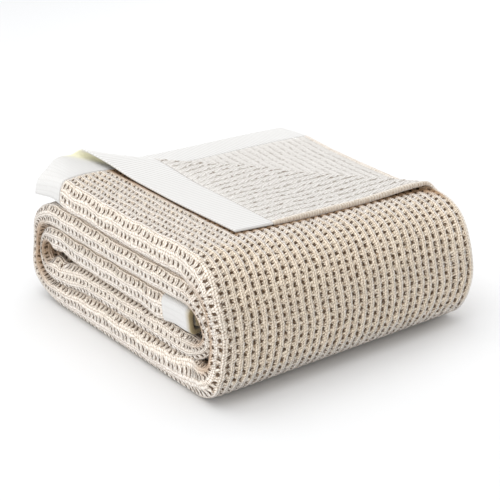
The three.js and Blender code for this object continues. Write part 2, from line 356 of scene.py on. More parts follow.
class FoldedThrow:
    """Carries the flat cloth into its folds: u across it, v along it, w above its middle on the face side."""

    def __init__(self, sizes):
        self.thickness = sizes.thickness
        self.length = sizes.length
        self.band_width = sizes.band_width
        self.stack = (LAYERS - 1) * LAYER_PITCH + sizes.thickness
        self.lay_across(sizes.width)
        self.lay_roll()
        self.lay_turn()

    def lay_across(self, width):
        """Four panels and three folds across the cloth, in the plane of X and the stack's thickness."""
        wide = (LAYERS - 1) / 2 * LAYER_PITCH
        tight = LAYER_PITCH / 2
        self.panel = (width - math.pi * (wide + 2 * tight)) / LAYERS
        self.fold_x = wide + self.thickness / 2
        self.fold_arc = math.pi * wide
        self.open_end_x = self.fold_x + self.panel
        panel = Leg(self.panel)
        wide_fold = Leg(self.fold_arc, wide, math.pi)
        open_end_fold = Leg(math.pi * tight, tight, math.pi)
        inner_fold = open_end_fold._replace(angle=-math.pi)
        legs = (panel, wide_fold, panel, open_end_fold, panel, inner_fold, panel)
        self.across = Walk(self.open_end_x, wide, math.pi, legs)

    def bend(self, radius, squeeze):
        """A quarter turn of the stack, which takes as much cloth as the middle of its squeezed layers."""
        middle = radius - self.stack / 2 * (1 + squeeze) / 2
        return Leg(math.pi / 2 * middle, radius, -math.pi / 2, squeeze)

    def outer_line(self, run):
        """Height of the outer line of the stack in a run."""
        pitch = (BUNDLE_HEIGHT - self.stack) / (len(RUNS) - 1)
        return run.level * pitch + (self.stack if run.outside == "top" else 0.0)

    def lay_roll(self):
        """Runs and their turns along the cloth, in the plane of Y and Z, from the inner end outwards."""
        legs = []
        y = INNER_END_Y
        for run, following in zip(RUNS, RUNS[1:]):
            at_back = run.turn == "back"
            extreme = BUNDLE_DEPTH - run.inset if at_back else run.inset
            inward = -1 if at_back else 1
            rise = abs(self.outer_line(following) - self.outer_line(run))
            legs.append(Leg(abs(extreme + inward * run.start_radius - y)))
            legs.append(self.bend(run.start_radius, run.squeeze))
            legs.append(Leg(rise - run.start_radius - run.end_radius, squeeze=run.squeeze))
            legs.append(self.bend(run.end_radius, run.squeeze))
            y = extreme + inward * run.end_radius
        legs[0] = legs[0]._replace(cover=1 - INNER_TUCK / legs[0].length)
        *starts, self.top_start = marks(leg.length for leg in legs)
        inner, second, third, floor = np.reshape(starts, (len(RUNS) - 1, -1))
        self.first_bend = inner[UPRIGHT]
        self.inner_end = second[UPRIGHT]
        self.outer_start = third[FIRST_BEND]
        self.floor_start = floor[STRAIGHT]
        self.floor_end = floor[FIRST_BEND]
        self.top_y = y
        legs.append(Leg(self.length - self.top_start))
        self.roll = Walk(INNER_END_Y + INNER_TUCK, self.outer_line(RUNS[0]), 0.0, legs)

    def lay_turn(self):
        """The line that the corner is turned back on, on the flat top layer."""
        self.back_edge_y = self.top_y + self.length - self.top_start
        line = Vector((self.open_end_x - TURN_BACK_X, TURN_FRONT_Y - self.back_edge_y)).normalized()
        self.line_x, self.line_y = line
        self.out_x, self.out_y = -line.y, line.x
        self.turn_arc = math.pi * TURN_RADIUS

    def upright(self, v):
        """How far the roll stands upright: 0 in a level run, 1 at the front and at the back."""
        _, _, heading, _ = self.roll.at(v)
        return np.sin(heading) ** 2

    def in_wide_fold(self, u):
        """Rises to 1 at the outermost line of the wide fold."""
        return near(u, self.panel + self.fold_arc / 2, FOLD_REACH)

    def past_turn(self, x, v):
        """How far a place of the top run lies past the turn's line, by its X and its length of cloth."""
        y = self.top_y + v - self.top_start
        return (x - TURN_BACK_X) * self.out_x + (y - self.back_edge_y) * self.out_y

    def under_flap(self, x, v):
        """How far a place of the top run lies inside the edge of the turned corner that covers it."""
        before = -self.past_turn(x, v)
        beyond = before / FLAP_COVER
        out = before + beyond + self.turn_arc
        y = self.top_y + v - self.top_start
        from_x = x + out * self.out_x + FLAP_SKEW * beyond * self.line_x
        from_y = y + out * self.out_y + FLAP_SKEW * beyond * self.line_y
        inside = np.minimum(self.open_end_x - from_x, self.back_edge_y - from_y)
        return np.where((before > 0.0) & (v > self.floor_end), inside, -1.0)

    def from_ends(self, v):
        """Distance from the nearest end of the cloth."""
        return np.minimum(v, self.length - v)

    def loft(self, v):
        """The share of the waffle's loft that the cloth has: the bands are flatter."""
        ease = (self.band_width - BAND_EASE / 2, self.band_width + BAND_EASE)
        return blend(BAND_LOFT, 1.0, smooth(*ease, self.from_ends(v)))

    def squeeze(self, v):
        """The share of its full thickness that the stack has at a length along the cloth."""
        _, _, _, share = self.roll.at(v)
        return self.loft(v) * blend(1.0, share, self.upright(v))

    def swell(self, x, v):
        """How much thicker the stack is at the wide fold than it is elsewhere."""
        past_bend = v - self.first_bend
        hollow = HOLLOW_SWELL * near(past_bend, 0.0, HOLLOW_REACH) * smooth(*HOLLOW_START, past_bend)
        amount = np.where(v > self.inner_end, FOLD_SWELL, INNER_SWELL) - hollow
        to_band = 1 - smooth(self.band_width, 2 * self.band_width, self.from_ends(v))
        band = np.where(v < self.length / 2, INNER_BAND_SWELL, OUTER_BAND_SWELL)
        front = FRONT_SWELL * np.sqrt(self.upright(v)) * (v > self.floor_end)
        corner = CORNER_SWELL * near(v, self.floor_end, CORNER_REACH)
        return 1 + (amount + band * to_band + front + corner) * (1 - smooth(0.0, SWELL_REACH, x))

    def square_fold(self, x, layer):
        """The wide fold carried from round to a squarer form of the same height and depth."""
        left = np.maximum(self.fold_x - x, 0.0)
        reach = np.maximum(np.hypot(left, layer), TINY)
        power = (left / reach) ** FOLD_POWER + np.abs(layer / reach) ** FOLD_POWER
        share = np.where(left > 0.0, power ** (-1 / FOLD_POWER), 1.0)
        return np.where(left > 0.0, self.fold_x - left * share, x), layer * share

    def place(self, u, v, w):
        """Points of the folded cloth, one row each."""
        past = np.where(u < self.panel, np.maximum(self.past_turn(self.open_end_x - u, v), 0.0), 0.0)
        turned = past > 0.0
        foot = v - past * self.out_y
        y, z, heading, _ = self.roll.at(foot)
        x, layer, leaning, _ = self.across.at(u + past * self.out_x)
        squeeze = self.squeeze(foot)
        half = w * self.loft(v)
        angle = np.minimum(past, self.turn_arc) / TURN_RADIUS
        beyond = np.maximum(0.0, past - self.turn_arc)
        rest = FLAP_GAP + self.thickness / 2 * (1 + self.loft(v))
        settled = (2 * TURN_RADIUS - rest) * smooth(0.0, FLAP_SETTLE, beyond)
        lift = TURN_RADIUS - (TURN_RADIUS - half) * np.cos(angle) - settled
        square_x, square_layer = self.square_fold(x + w * np.sin(leaning), layer - w * np.cos(leaning))
        turned_rise = squeeze * (layer - self.stack / 2) + lift
        rise = np.where(turned, turned_rise, squeeze * (square_layer - self.stack / 2))
        away = np.where(turned, (TURN_RADIUS - half) * np.sin(angle) - FLAP_COVER * beyond, 0.0)
        aside = np.where(turned, -FLAP_SKEW * beyond, 0.0)
        sideways = self.out_x * away + self.line_x * aside
        forward = self.out_y * away + self.line_y * aside
        x = np.where(turned, x + sideways, square_x)
        rise = rise * self.swell(x, foot)
        y = y + forward * np.cos(heading) - rise * np.sin(heading)
        z = z + forward * np.sin(heading) + rise * np.cos(heading)
        return self.settle(x, y, z)

    def settle(self, x, y, z):
        """Hollows, heaves, the hump, a drooping back edge, waves and a low open end, on a flat underside."""
        held = smooth(0.0, FLOOR_FADE, z)
        for hollow in HOLLOWS:
            off_y, off_z = y - hollow.place[0], z - hollow.place[1]
            share = held * hollow.at(y, z) / np.maximum(np.hypot(off_y, off_z), TINY)
            y, z = y + off_y * share, z + off_z * share
        at_folds = held * (1 - smooth(0.0, HEAVE_X, x)) * (1 - smooth(*HEAVE_Y, y))
        z = z + at_folds * sum(heave.at(z) for heave in HEAVES)
        height = z / BUNDLE_HEIGHT
        at_top = smooth(*TOP_LAYERS, height)
        droop = BACK_DROP + CORNER_DROP * (1 - smooth(0.0, CORNER_DROP_REACH, x))
        z = z + at_top * (TURN_HUMP.at(x, y) - droop * smooth(*BACK_DROP_Y, y))
        x = x - at_top * TURN_PULL.at(x, y)
        wave_x = np.sin(2 * np.pi * x / TOP_WAVE_X + TOP_WAVE_PHASE)
        wave_y = np.sin(2 * np.pi * y / TOP_WAVE_Y)
        z = z + TOP_WAVE_HEIGHT * held * height * wave_x * wave_y
        x = x - SIDE_WAVE_DEPTH * held * np.sin(2 * np.pi * z / SIDE_WAVE_HEIGHT)
        to_open_end = x / self.open_end_x
        x = x - OPEN_END_TUCK * to_open_end**2 * (1 - smooth(0.0, OPEN_END_TUCK_HEIGHT, z))
        y = y - OPEN_END_SHIFT * to_open_end
        z = z * (1 - OPEN_END_DROP * to_open_end)
        return np.stack((x - MIDDLE_X, y - MIDDLE_Y, z), axis=-1)


# The lattice. Its tiles are plain where the cloth is hidden, stepped across it, or fine both ways.
PLAIN, STRIP, FINE = range(3)
MOST_MERGED = 8


class Tile(NamedTuple):
    """A step of the cloth across or along it, and the shares of its length where the lattice has lines."""

    length: float
    shares: tuple


def mirrored(shares):
    """The shares of a tile that is turned end for end."""
    return tuple(1 - share for share in shares[-2::-1]) + (1.0,)


def unit_steps(first, last):
    """The steps of one line between two lines."""
    return [(line, line + 1) for line in range(first, last)]


class Lattice:
    """Lines across and along a length of cloth, which starts at a length along it."""

    def __init__(self, across, along, start):
        self.u, self.columns = self.lines(across, 0.0)
        self.v, self.rows = self.lines(along, start)
        self.flat_u, self.flat_v = np.meshgrid(self.u, self.v, indexing="ij")
        self.column_middles = (self.u[self.columns[:-1]] + self.u[self.columns[1:]]) / 2
        self.row_middles = (self.v[self.rows[:-1]] + self.v[self.rows[1:]]) / 2

    @staticmethod
    def lines(tiles, start):
        """Places of the lines, and the number of the line where each tile starts."""
        places = [start]
        firsts = [0]
        for tile in tiles:
            begin = places[-1]
            places += [begin + tile.length * share for share in tile.shares]
            firsts.append(len(places) - 1)
        return np.array(places), np.array(firsts)

    def from_edges(self):
        """Distances of the lattice's points from the nearest side and from the nearest end."""
        from_side = np.minimum(self.flat_u - self.u[0], self.u[-1] - self.flat_u)
        from_end = np.minimum(self.flat_v - self.v[0], self.v[-1] - self.flat_v)
        return from_side, from_end

    def rectangles(self, kinds, panels):
        """Rectangles of lines that fill the tiles. Plain tiles that lie beside each other are merged."""
        found = []
        for row, (low, high) in enumerate(zip(self.rows, self.rows[1:])):
            column = 0
            while column < len(panels):
                last = column + 1
                kind = kinds[column, row]
                if kind == PLAIN:
                    limit = min(column + MOST_MERGED, len(panels))
                    while last < limit and kinds[last, row] == PLAIN and panels[last] == panels[column]:
                        last += 1
                first_line, last_line = self.columns[column], self.columns[last]
                across = [(first_line, last_line)] if kind == PLAIN else unit_steps(first_line, last_line)
                along = unit_steps(low, high) if kind == FINE else [(low, high)]
                found += [(i0, i1, j0, j1) for i0, i1 in across for j0, j1 in along]
                column = last
        return np.array(found)


def border_loop(rectangle, used, numbers):
    """Numbers of the used points round a rectangle of the lattice."""
    i0, i1, j0, j1 = rectangle
    border = [(i, j0) for i in range(i0, i1)]
    border += [(i1, j) for j in range(j0, j1)]
    border += [(i, j1) for i in range(i1, i0, -1)]
    border += [(i0, j) for j in range(j1, j0, -1)]
    return [numbers[spot] for spot in border if used[spot]]


class Side(NamedTuple):
    """One side of a sheet: height above the cloth's middle, kinds of tile, materials and named values."""

    height: np.ndarray
    kinds: np.ndarray
    materials: np.ndarray
    values: dict


def number_points(shape, fills):
    """The lattice's points that each side uses, those of them that count once, and all their numbers.

    Along the edges the back has the points of the face.
    """
    edge = np.zeros(shape, bool)
    edge[[0, -1], :] = True
    edge[:, [0, -1]] = True
    used = np.zeros((len(fills), *shape), bool)
    for spots, fill in zip(used, fills):
        i0, i1, j0, j1 = fill.T
        for i in (i0, i1):
            for j in (j0, j1):
                spots[i, j] = True
    used |= edge & used.any(axis=0)
    face_used, back_used = used
    counted = np.stack((face_used, back_used & ~edge))
    numbers = np.zeros(used.shape, int)
    numbers[counted] = np.arange(counted.sum())
    face_numbers, back_numbers = numbers
    back_numbers[edge] = face_numbers[edge]
    return used, counted, numbers


def carry_values(mesh, cloth_map, values):
    """Puts the cloth's map on the mesh's corners, and the named values on its points."""
    corners = np.zeros(len(mesh.loops), np.int32)
    mesh.loops.foreach_get("vertex_index", corners)
    layer = mesh.uv_layers.new(name=CLOTH_MAP)
    layer.uv.foreach_set("vector", cloth_map[corners].astype(np.float32).ravel())
    for name, value in values.items():
        attribute = mesh.attributes.new(name, "FLOAT", "POINT")
        attribute.data.foreach_set("value", value.astype(np.float32))


def weave_sheet(name, fold, lattice, sides, panels, cloth_map, materials):
    """A closed sheet of folded cloth. Its face and back meet in the same points along its edges."""
    fills = [lattice.rectangles(side.kinds, panels) for side in sides]
    used, counted, numbers = number_points(lattice.flat_u.shape, fills)

    def at_points(face, back):
        """Values at the sheet's points, from those of the lattice on each side."""
        return np.stack((face, back))[counted]

    flat_u = at_points(lattice.flat_u, lattice.flat_u)
    flat_v = at_points(lattice.flat_v, lattice.flat_v)
    points = fold.place(flat_u, flat_v, at_points(*(side.height for side in sides)))
    loops = []
    slots = []
    # The face's loops run backwards, so that both sides point outwards
    for side, fill, spots, found, order in zip(sides, fills, used, numbers, (-1, 1)):
        loops += [border_loop(rectangle, spots, found)[::order] for rectangle in fill.tolist()]
        slots.append(side.materials[np.searchsorted(lattice.columns, fill[:, 0], side="right") - 1])
    mesh = bpy.data.meshes.new(name)
    mesh.from_pydata(points, [], loops)
    mesh.polygons.foreach_set("use_smooth", np.ones(len(loops), bool))
    mesh.polygons.foreach_set("material_index", np.concatenate(slots).astype(np.int32))
    values = {key: at_points(*(side.values[key] for side in sides)) for key in sides[0].values}
    carry_values(mesh, at_points(cloth_map, cloth_map), values)
    for material in materials:
        mesh.materials.append(material)
    mesh.validate()
    piece = bpy.data.objects.new(name, mesh)
    bpy.context.scene.collection.objects.link(piece)
    return piece


# The waffle. A cell has a rib along each side, a bar across each end and a pit between.
ROW_CROWDING = 0.20
ROW_SAMPLES = 4001
LEVEL_ROW = 0.78
FOLD_COLUMNS = 1.18
COLUMN_SHARES = (0.28, 0.5, 0.72, 1.0)

# Shares of the pit's depth: a row for each step across from the rib, a column for each along from the bar
PIT_PROFILE = (
    (0.00, 0.00, 0.00),
    (0.14, 0.16, 0.16),
    (0.36, 0.95, 0.95),
    (0.14, 0.16, 0.16),
)
REVERSE_PROFILE = (1.0, 0.12, 0.0, 0.12)
LEVEL_PIT = 0.38
UPRIGHT_PIT = 0.53
PIT_WIDTH = 0.36
LEVEL_PIT_WIDTH = 0.46
FOLD_PIT_WIDTH = 0.46
FOLD_PIT_NARROWING = 0.12
FOLD_PIT_FLATTENING = 0.75
# How far the wide fold is painted paler, as painted light
PAINTED_FOLD_LIGHT = 0.75
LEAST_GROUND = 0.0008
PIT_SEED = 7
PIT_SHIFT = 0.07
PIT_UNEVEN = 0.22
WANDER = 0.0005
WANDER_BEND = 2
WANDER_ACROSS = (0.9, 0.37)
WANDER_ALONG = (0.8, 0.31)

# Hems and seams
HEM_SHARES = (0.06, 0.22, 0.5, 0.78, 1.0)
HEM_NECK = 0.35
HEM_NECK_REACH = 0.003
FLAP_HEM_ROLL = 0.6
FLAP_HEM_START = 0.045
NARROW_HEM = 0.45
NARROW_REACH = 0.040
SEAM_SHARES = (0.25, 1.0)
SEAM_EDGE = 0.0014
SEAM_ROUND = 0.0015

# How far the fine tiles reach past what shows
OUTER_MARGIN = 0.075
FOLD_MARGIN = 0.011
TURN_MARGIN = 0.018
COVER_MARGIN = 0.025

# Warm shade in the creases and under the turned corner, and the strength of the reverse's grooves
CREASE_SPAN = (0.35, 1.0)
CREASE_SHADE = 0.18
BEND_SPAN = (0.0, 0.28)
BEND_SHADE = 0.72
FLAP_SHADE = 1.0
FLAP_SHADE_SPAN = (-0.0045, 0.001)
NOOK_REACH = 0.016
NOOK_X = (0.255, 0.310)
FLAP_GROOVE = 0.75
UNDER_GROOVE = 0.46
SEAM_GROOVE = 0.5
SEAM_GROOVE_REACH = 0.012
TURN_GROOVE = 0.5
TURN_GROOVE_PAST = 0.012
TURN_GROOVE_REACH = 0.012


def row_ends(fold, start, end, count):
    """Lengths along the cloth where its rows end: outside on the roll they are longest at the front."""
    legs = fold.roll.legs
    cloth_marks = marks(leg.length for leg in legs)
    outer_marks = marks(leg.radius * abs(leg.angle) if leg.radius else leg.length for leg in legs)
    along = np.interp(np.linspace(0.0, outer_marks[-1], ROW_SAMPLES), outer_marks, cloth_marks)
    y, _, _, _ = fold.roll.at(along)
    row = (1 - ROW_CROWDING * y / BUNDLE_DEPTH) * blend(LEVEL_ROW, 1.0, fold.upright(along))
    crowd = np.cumsum(1 / row)
    ends = np.interp((start, end), along, crowd)
    return np.interp(np.linspace(*ends, count + 1), crowd, along)


def column_ends(fold, start, end, count):
    """Widths across the cloth where its columns end: they are closer in the folds, which stretch the face."""
    legs = fold.across.legs
    cloth_marks = marks(leg.length for leg in legs)
    face_marks = marks((FOLD_COLUMNS if leg.angle > 0.0 else 1.0) * leg.length for leg in legs)
    ends = np.interp((start, end), cloth_marks, face_marks)
    return np.interp(np.linspace(*ends, count + 1), face_marks, cloth_marks)


def pit_length(fold, v):
    """The share of a row's length that its pits take: most where the roll stands upright."""
    return blend(LEVEL_PIT, UPRIGHT_PIT, fold.upright(v))


def row_tile(length, pit):
    """A row of the waffle with lines along both ends of its pits."""
    return Tile(length, (0.5 - pit / 2, 0.5 + pit / 2, 1.0))


def waffle_lattice(sizes, fold):
    """The lattice of the waffle cloth between its two bands, and the ends of its columns and rows."""
    start = sizes.band_width + SEAM_GAP / 2
    columns = column_ends(fold, sizes.hem_width, sizes.width - sizes.hem_width, sizes.waffle_columns)
    rows = row_ends(fold, start + SEAM_EDGE, sizes.length - start - SEAM_EDGE, sizes.waffle_rows)
    pits = pit_length(fold, (rows[:-1] + rows[1:]) / 2)
    across = [Tile(width, COLUMN_SHARES) for width in np.diff(columns)]
    along = [row_tile(*row) for row in zip(np.diff(rows), pits)]
    hems = [Tile(sizes.hem_width, shares) for shares in (HEM_SHARES, mirrored(HEM_SHARES))]
    seams = [Tile(SEAM_EDGE, shares) for shares in (SEAM_SHARES, mirrored(SEAM_SHARES))]
    lattice = Lattice([hems[0], *across, hems[1]], [seams[0], *along, seams[1]], start)
    return lattice, columns, rows


def cell_steps(lines, firsts, count):
    """The step of each line within its waffle cell, or -1 in a hem or seam, and the cell's number."""
    steps = np.full(len(lines), -1)
    cells = np.zeros(len(lines), int)
    first, last = firsts[1], firsts[-2]
    inside = np.arange(first, last + 1)
    steps[inside] = (inside - first) % count
    cells[inside] = np.minimum((inside - first) // count, (last - first) // count - 1)
    return steps, cells


def on_flap(fold, v):
    """Rises to 1 where the cloth has reached the top run, with its thicker hem."""
    return smooth(fold.top_start, fold.top_start + FLAP_HEM_START, v)


def waffle_heights(sizes, fold, lattice):
    """Heights of the waffle's face and reverse above the cloth's middle, and the shift of each point."""
    from_side, from_end = lattice.from_edges()
    neck = HEM_NECK * near(from_side, sizes.hem_width, HEM_NECK_REACH)
    thickest = FLAP_HEM_ROLL * on_flap(fold, lattice.flat_v)
    roll = thickest * near(from_side, sizes.hem_width / 2, HEM_NECK_REACH)
    edge = rounded(from_side, sizes.hem_width / 2) * rounded(from_end, SEAM_ROUND)
    half = sizes.thickness / 2 * edge * (1 - neck + roll)
    u_steps, u_cells = cell_steps(lattice.u, lattice.columns, len(PIT_PROFILE))
    v_steps, v_cells = cell_steps(lattice.v, lattice.rows, len(PIT_PROFILE[0]))
    woven = (u_steps >= 0)[:, None] & (v_steps >= 0)
    profile = np.array(PIT_PROFILE)[u_steps[:, None], v_steps]
    random = np.random.default_rng(PIT_SEED)
    cells = (sizes.waffle_columns, sizes.waffle_rows)
    uneven = 1 + PIT_UNEVEN * random.uniform(-1.0, 1.0, cells)
    shift = PIT_SHIFT * random.uniform(-1.0, 1.0, (2, *cells))
    deepest = (sizes.thickness - LEAST_GROUND) / (1 + PIT_UNEVEN)
    depth = np.minimum(sizes.pit_depth / fold.squeeze(lattice.flat_v), deepest)
    depth = depth * (1 - FOLD_PIT_FLATTENING * fold.in_wide_fold(lattice.flat_u))
    face = half - woven * profile * depth * uneven[u_cells[:, None], v_cells]
    groove = np.array(REVERSE_PROFILE)[u_steps][:, None] * woven
    back = -half + sizes.groove_depth * groove
    inner = woven & (u_steps > 0)[:, None] & (v_steps > 0)
    return face, back, inner * shift[:, u_cells[:, None], v_cells]


def waffle_kinds(fold, lattice, margin):
    """Kinds of tile on the face and on the reverse, plain where hidden, and the panel of each column."""
    u = lattice.column_middles[:, None]
    v = lattice.row_middles[None, :]
    bounds = fold.across.starts
    _, wide_start, wide_end, narrow_start, narrow_end, _, last_panel = bounds
    outer = v > fold.outer_start - OUTER_MARGIN
    top_panel = u < wide_start
    wide_fold = (u > wide_start - FOLD_MARGIN) & (u < wide_end + FOLD_MARGIN)
    open_end_fold = (u > narrow_start - margin) & (u < narrow_end + margin)
    x, _, _, _ = fold.across.at(u)
    past = fold.past_turn(x, v)
    on_top = v > fold.top_start - OUTER_MARGIN
    on_floor = (v > fold.floor_start) & (v < fold.floor_end)
    covered = on_top & (past > COVER_MARGIN)
    face_shown = top_panel & outer & ~on_floor & ~covered | wide_fold | open_end_fold
    back_shown = (top_panel | (u > last_panel)) & on_top & (past > -TURN_MARGIN)
    face = np.where(face_shown, FINE, PLAIN)
    back = np.where(back_shown, STRIP, PLAIN)
    for kinds in (face, back):
        kinds[[0, -1], :] = np.where(outer[0], FINE, STRIP)
        kinds[:, [0, -1]] = FINE
    # In a fold each column counts as a panel, so that its plain tiles aren't merged
    panels = np.searchsorted(bounds, lattice.column_middles, side="right")
    in_fold = panels % 2 == 0
    panels = np.where(in_fold, len(bounds) + 1 + np.arange(len(panels)), panels)
    return face, back, panels


def cloth_shades(fold, lattice):
    """The warm shade of the face, and the strength of the reverse's grooves."""
    u, v = lattice.flat_u, lattice.flat_v
    apex = fold.panel + fold.fold_arc / 2
    round_fold = np.abs(u - apex) / (fold.fold_arc / 2)
    hidden = CREASE_SHADE * smooth(*CREASE_SPAN, round_fold)
    in_bend = BEND_SHADE * fold.upright(v) * smooth(*BEND_SPAN, round_fold)
    shade = np.where(u > apex, np.maximum(hidden, in_bend), hidden * (v < fold.outer_start))
    x = fold.open_end_x - u
    past = fold.past_turn(x, v)
    nook = (1 - smooth(0.0, NOOK_REACH, np.abs(past))) * smooth(*NOOK_X, x) * (v > fold.floor_end)
    under = np.maximum(smooth(*FLAP_SHADE_SPAN, fold.under_flap(x, v)), nook) * (u < fold.panel)
    shade = np.maximum(shade * (u < fold.panel + 2 * fold.fold_arc), FLAP_SHADE * under)
    at_turn = TURN_GROOVE * near(past, TURN_GROOVE_PAST, TURN_GROOVE_REACH)
    _, from_end = lattice.from_edges()
    off_seam = blend(SEAM_GROOVE, 1.0, smooth(0.0, SEAM_GROOVE_REACH, from_end))
    groove = np.where(u < fold.panel, FLAP_GROOVE * off_seam + at_turn, UNDER_GROOVE * off_seam)
    return shade, groove


def waffle_map(lattice, columns, rows):
    """The number of columns and of rows up to each point, counted on through the hems."""
    column_map = np.interp(lattice.flat_u, columns, np.arange(len(columns)))
    past_cells = np.maximum(columns[0] - lattice.flat_u, lattice.flat_u - columns[-1])
    column_map = column_map + np.maximum(past_cells, 0.0) / (columns[1] - columns[0])
    row_map = np.interp(lattice.flat_v, rows, np.arange(len(rows)))
    return column_map, row_map


def wandering(cells, other_cells, rates):
    """A slow uneven wave over cells counted one way, bent by the count the other way."""
    return WANDER * np.sin(rates[0] * cells + WANDER_BEND * np.sin(rates[1] * other_cells))


def loosen_weave(sizes, fold, lattice, column_map, row_map, shift):
    """Moves the points: threads wander, pits lie a little off their places, and hems off the flap narrow."""
    from_side, from_end = lattice.from_edges()
    free = smooth(0.0, 2 * sizes.hem_width, np.minimum(from_side, from_end))
    lattice.flat_u = lattice.flat_u + free * (wandering(row_map, column_map, WANDER_ACROSS) + shift[0])
    lattice.flat_v = lattice.flat_v + free * (wandering(column_map, row_map, WANDER_ALONG) + shift[1])
    into_hem = np.minimum(from_side / sizes.hem_width, 1.0)
    rim = into_hem * (1 - smooth(sizes.hem_width, NARROW_REACH, from_side))
    narrowed = NARROW_HEM * sizes.hem_width * (1 - on_flap(fold, lattice.flat_v)) * rim
    lattice.flat_u = lattice.flat_u - narrowed * np.sign(sizes.width / 2 - lattice.flat_u)


def pit_values(fold, lattice):
    """The shares of a cell that its painted pit takes along and across it, and the painted light that makes
    the yarn paler on the wide fold.
    """
    in_fold = fold.in_wide_fold(lattice.flat_u)
    length = pit_length(fold, lattice.flat_v)
    width = blend(PIT_WIDTH, LEVEL_PIT_WIDTH, (UPRIGHT_PIT - length) / (UPRIGHT_PIT - LEVEL_PIT))
    return {
        "pit_length": length * (1 - FOLD_PIT_NARROWING * in_fold),
        "pit_width": blend(width, FOLD_PIT_WIDTH, in_fold),
        # Painted light: the wide fold's yarn is painted paler
        "pale": PAINTED_FOLD_LIGHT * in_fold,
    }


def build_waffle_cloth():
    """The beige waffle cloth with its rolled hems."""
    sizes = bpy.context.scene.throw_sizes
    colours = bpy.context.scene.throw_colours
    fold = FoldedThrow(sizes)
    lattice, columns, rows = waffle_lattice(sizes, fold)
    column = columns[1] - columns[0]
    face_height, back_height, shift = waffle_heights(sizes, fold, lattice)
    face_kinds, back_kinds, panels = waffle_kinds(fold, lattice, column / 2)
    cloth_map = waffle_map(lattice, columns, rows)
    loosen_weave(sizes, fold, lattice, *cloth_map, shift * column)
    crease, groove = cloth_shades(fold, lattice)
    values = pit_values(fold, lattice)
    materials = (waffle_material(colours), reverse_material(colours), hem_material(colours))
    face_slots = np.zeros(len(panels), int)
    face_slots[[0, -1]] = len(materials) - 1
    sides = (
        Side(face_height, face_kinds, face_slots, {"shade": crease, **values}),
        Side(back_height, back_kinds, np.maximum(face_slots, 1), {"shade": groove, **values}),
    )
    cloth_map = np.stack(cloth_map, axis=-1)
    piece = weave_sheet("waffle_throw", fold, lattice, sides, panels, cloth_map, materials)
    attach(piece, BODY)
    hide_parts("throw_cloth")


# The bands
BAND_EDGE = 0.003
BAND_SHARES = (0.5, 1.0)
BAND_ROWS = 7
FACE_GROOVE = 0.3
GLOW_PAST = 0.006
GLOW_REACH = 0.010
END_SHADE = 0.9
END_SHADE_REACH = 0.0025


def band_lattice(sizes, length, start):
    """The lattice of a band, and the width of one of its ribs."""
    rib = Tile((sizes.width - 2 * BAND_EDGE) / sizes.band_ribs, BAND_SHARES)
    row = Tile((length - 2 * SEAM_EDGE) / BAND_ROWS, (1.0,))
    rims = (HEM_SHARES[1:], mirrored(HEM_SHARES))
    edge, far_edge = (Tile(BAND_EDGE, shares) for shares in rims)
    seam, far_seam = (Tile(SEAM_EDGE, shares) for shares in rims)
    across = [edge, *[rib] * sizes.band_ribs, far_edge]
    along = [seam, *[row] * BAND_ROWS, far_seam]
    return Lattice(across, along, start), rib.length


def build_end_band(name, node, start):
    """A white band across one end of the cloth, with fine ribs along the cloth's length."""
    sizes = bpy.context.scene.throw_sizes
    fold = FoldedThrow(sizes)
    length = sizes.band_width - SEAM_GAP / 2
    lattice, rib = band_lattice(sizes, length, start)
    from_side, from_end = lattice.from_edges()
    half = sizes.thickness / 2 * rounded(from_side, BAND_EDGE / 2) * rounded(from_end, SEAM_ROUND)
    rib_map = (lattice.flat_u - BAND_EDGE) / rib
    free = smooth(0.0, BAND_EDGE, from_side) * smooth(0.0, SEAM_EDGE, from_end)
    groove = sizes.band_groove * free * (1 - np.abs(np.cos(np.pi * rib_map)))
    panels = np.arange(len(lattice.column_middles))
    kinds = np.full((len(panels), len(lattice.row_middles)), FINE)
    cloth_map = np.stack((rib_map, (lattice.flat_v - start) / rib), axis=-1)
    past = fold.past_turn(fold.open_end_x - lattice.flat_u, lattice.flat_v)
    # Painted glow just past the turn of the band
    in_turn = near(past, GLOW_PAST, GLOW_REACH) * (lattice.flat_u < fold.panel)
    # Painted shade at the inner band's end, deep in the roll
    at_end = END_SHADE * near(lattice.flat_v, 0.0, END_SHADE_REACH)
    face_values = {"glow": in_turn, "shade": at_end}
    back_values = {"glow": np.zeros_like(in_turn), "shade": at_end}
    sides = (
        Side(half - FACE_GROOVE * groove, kinds, np.zeros(len(panels), int), face_values),
        Side(groove - half, kinds, np.ones(len(panels), int), back_values),
    )
    colours = bpy.context.scene.throw_colours
    materials = (
        band_material("band_face", colours.band_face, FACE_GROOVE, colours),
        band_material("band_back", colours.band, 1.0, colours),
    )
    piece = weave_sheet(name, fold, lattice, sides, panels, cloth_map, materials)
    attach(piece, BODY)
    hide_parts(node)


class Yarn(NamedTuple):
    """How many strands lie across a cell, and how many more they slant over along it."""

    strands: float
    slant: float = 0.0


class Specks(NamedTuple):
    """Dark specks: the scale of their noise, the span of it where they fade, and their strength."""

    scale: float
    span: tuple
    strength: float


class Waver(NamedTuple):
    """Unevenness about nothing: the scale and the detail of its noise, and its whole range."""

    scale: float
    detail: float
    spread: float


class Nap(NamedTuple):
    """How far the yarn's relief shows, and the sheen of its tips."""

    bump: float
    sheen: float


